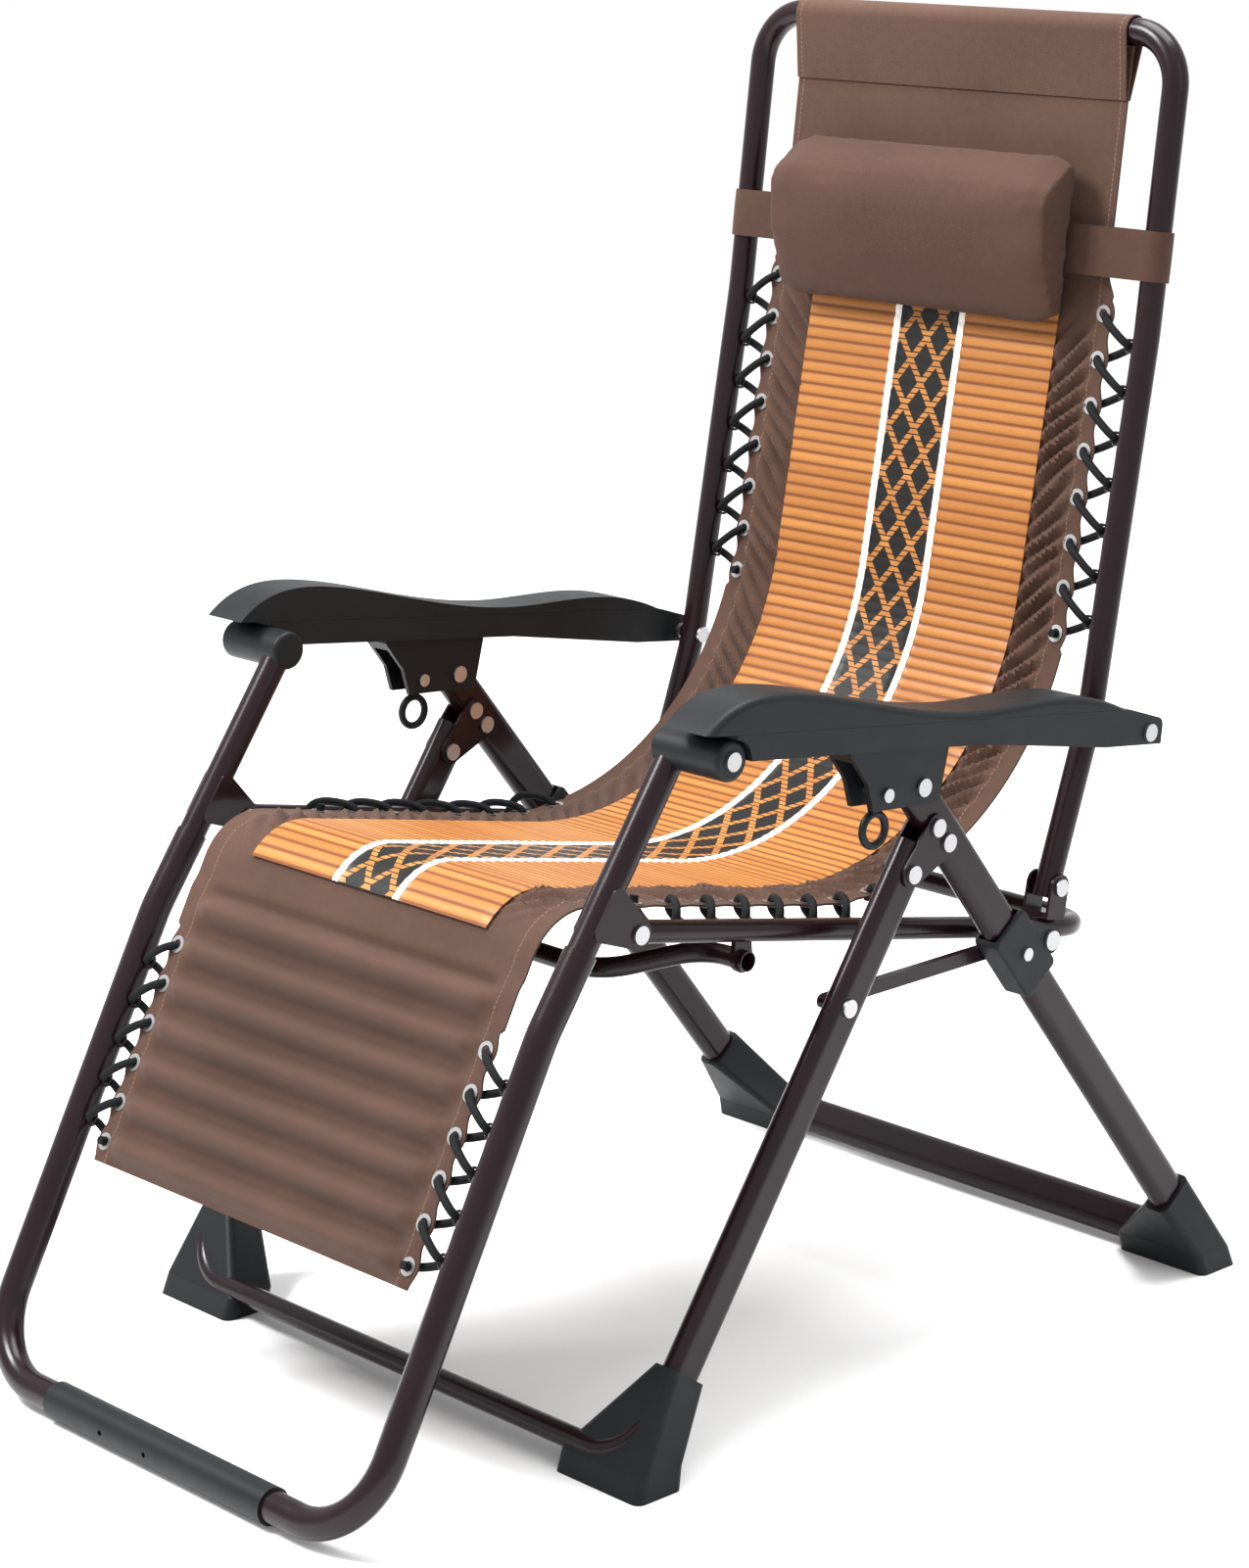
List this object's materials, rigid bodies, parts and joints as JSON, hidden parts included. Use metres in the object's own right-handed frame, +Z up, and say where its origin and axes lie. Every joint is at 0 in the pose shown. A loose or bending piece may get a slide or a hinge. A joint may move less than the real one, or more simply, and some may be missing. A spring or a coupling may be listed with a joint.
{
  "type": "reclining patio chair",
  "caption": "Folding reclining patio chair: tube frame on crossed U legs, linked back, foot loop and armrests, laced fabric sling with a bamboo mat and a headrest pillow.",
  "frame": {"origin": "on the floor under the middle of the outline", "axes": "+Z up, the chair faces -Y, +X is the sitter's left"},
  "size_m": [0.6598, 1.0522, 1.1765],
  "materials": {
    "frame_paint": "gloss",
    "black_plastic": "satin",
    "bright_steel": "polished",
    "sling_fabric": "woven",
    "bamboo_mat": "satin",
    "lacing_cord": "woven"
  },
  "bodies": {
    "rear_leg": {"rear_leg_frame": "frame_paint", "leg_hinge_plates": "frame_paint", "hinge_plate_rivets": "bright_steel", "rear_boot_left": "black_plastic", "rear_boot_right": "black_plastic"},
    "front_leg": {"front_leg_frame": "frame_paint", "front_leg_pivot_rivets": "bright_steel", "tie_rivets": "bright_steel", "front_boot_left": "black_plastic", "front_boot_right": "black_plastic"},
    "collars": {"leg_collar_left": "black_plastic", "leg_collar_right": "black_plastic", "collar_rivets": "bright_steel"},
    "tie_bars": {"tie_bar_left": "frame_paint", "tie_bar_right": "frame_paint"},
    "seat_bolts": {"seat_pivot_bolts": "bright_steel"},
    "seat": {"seat_frame": "frame_paint", "seat_stretcher": "frame_paint", "sling_seat": "sling_fabric", "mat_seat": "bamboo_mat", "seat_eyelets": "bright_steel", "seat_loops": "frame_paint", "seat_lacing_left": "lacing_cord", "seat_lacing_right": "lacing_cord"},
    "back_rivets": {"back_pivot_rivets": "bright_steel"},
    "backrest": {"back_frame": "frame_paint", "sling_back": "sling_fabric", "mat_back": "bamboo_mat", "back_eyelets": "bright_steel", "back_loops": "frame_paint", "back_lacing_left": "lacing_cord", "back_lacing_right": "lacing_cord"},
    "headrest": {"headrest_pillow": "sling_fabric", "headrest_strap": "sling_fabric"},
    "foot_rivets": {"seat_front_rivets": "bright_steel"},
    "foot_frame": {"upright_left": "frame_paint", "upright_right": "frame_paint", "foot_loop": "frame_paint", "foot_sleeve": "black_plastic", "roller_pins": "bright_steel", "sling_foot": "sling_fabric", "foot_eyelets": "bright_steel", "foot_loops": "frame_paint", "arm_roller_left": "black_plastic", "arm_roller_right": "black_plastic", "foot_lacing_left": "lacing_cord", "foot_lacing_right": "lacing_cord"},
    "arm_rivets": {"arm_rear_rivets": "bright_steel"},
    "armrests": {"armrest_body_left": "black_plastic", "armrest_body_right": "black_plastic", "armrest_pad_left": "black_plastic", "armrest_pad_right": "black_plastic"},
    "bracket_rivets": {"bracket_pivot_rivets": "bright_steel"},
    "brackets": {"arm_bracket_left": "black_plastic", "arm_bracket_right": "black_plastic", "lever_pins": "bright_steel"},
    "lever_left": {"lock_lever_left": "black_plastic"},
    "lever_right": {"lock_lever_right": "black_plastic"}
  },
  "joints": [
    {"name": "leg_fold", "type": "hinge", "parent": "rear_leg", "child": "front_leg", "pos_m": [0, 0.069, 0.474], "axis": [1, 0, 0], "range_deg": [0, 70], "deforming": ["sling_seat", "mat_seat", "sling_foot"]},
    {"name": "collar_slide", "type": "slide", "parent": "rear_leg", "child": "collars", "axis": [0, 0.6239, -0.7815], "range_m": [0, 0.171]},
    {"name": "tie_swing", "type": "hinge", "parent": "collars", "child": "tie_bars", "pos_m": [0, 0.21924, 0.37181], "axis": [1, 0, 0], "range_deg": [-36, 0]},
    {"name": "seat_fold", "type": "hinge", "parent": "collars", "child": "seat_bolts", "pos_m": [0, 0.25218, 0.37799], "axis": [1, 0, 0], "range_deg": [-34.5, 0]},
    {"name": "seat_tilt", "type": "hinge", "parent": "seat_bolts", "child": "seat", "pos_m": [0, 0.25218, 0.37799], "axis": [-1, 0, 0], "range_deg": [0, 15]},
    {"name": "back_fold", "type": "hinge", "parent": "seat", "child": "back_rivets", "pos_m": [0, 0.313, 0.406], "axis": [1, 0, 0], "range_deg": [0, 86.5]},
    {"name": "recline", "type": "hinge", "parent": "back_rivets", "child": "backrest", "pos_m": [0, 0.313, 0.406], "axis": [-1, 0, 0], "range_deg": [0, 40], "deforming": ["sling_seat", "mat_seat", "sling_foot"]},
    {"name": "foot_fold", "type": "hinge", "parent": "seat", "child": "foot_rivets", "pos_m": [0, -0.213, 0.469], "axis": [1, 0, 0], "range_deg": [0, 86.5]},
    {"name": "foot_swing", "type": "hinge", "parent": "foot_rivets", "child": "foot_frame", "pos_m": [0, -0.213, 0.469], "axis": [-1, 0, 0], "range_deg": [0, 40.5]},
    {"name": "arm_fold", "type": "hinge", "parent": "backrest", "child": "arm_rivets", "pos_m": [0, 0.365, 0.552], "axis": [-1, 0, 0], "range_deg": [0, 86.5]},
    {"name": "arm_level", "type": "hinge", "parent": "arm_rivets", "child": "armrests", "pos_m": [0, 0.365, 0.552], "axis": [1, 0, 0], "range_deg": [0, 40.5]},
    {"name": "bracket_fold", "type": "hinge", "parent": "rear_leg", "child": "bracket_rivets", "pos_m": [0, 0.077, 0.55], "axis": [-1, 0, 0], "range_deg": [0, 34.5]},
    {"name": "bracket_tilt", "type": "hinge", "parent": "bracket_rivets", "child": "brackets", "pos_m": [0, 0.077, 0.55], "axis": [-1, 0, 0], "range_deg": [0, 15]},
    {"name": "lever_left", "type": "hinge", "parent": "brackets", "child": "lever_left", "pos_m": [0, 0.032, 0.551], "axis": [-1, 0, 0], "range_deg": [0, 20], "stiffness_Nm_per_rad": 0.3},
    {"name": "lever_right", "type": "hinge", "parent": "brackets", "child": "lever_right", "pos_m": [0, 0.032, 0.551], "axis": [-1, 0, 0], "range_deg": [0, 20], "stiffness_Nm_per_rad": 0.3},
    {"name": "headrest_slide", "type": "slide", "parent": "backrest", "child": "headrest", "axis": [0, 0.1288, 0.9917], "range_m": [0, 0.08]}
  ],
  "couplings": [
    {"joint": "collar_slide", "follows": "leg_fold", "m_per_rad": 0.13915},
    {"joint": "tie_swing", "follows": "leg_fold", "ratio": -0.5066},
    {"joint": "seat_fold", "follows": "leg_fold", "ratio": -0.48571},
    {"joint": "back_fold", "follows": "leg_fold", "ratio": 1.2286},
    {"joint": "foot_fold", "follows": "leg_fold", "ratio": 1.2286},
    {"joint": "arm_fold", "follows": "leg_fold", "ratio": 1.2286},
    {"joint": "bracket_fold", "follows": "leg_fold", "ratio": 0.48571},
    {"joint": "seat_tilt", "follows": "recline", "ratio": 0.37},
    {"joint": "foot_swing", "follows": "recline", "ratio": 1},
    {"joint": "arm_level", "follows": "recline", "ratio": 1},
    {"joint": "bracket_tilt", "follows": "recline", "ratio": 0.37}
  ]
}
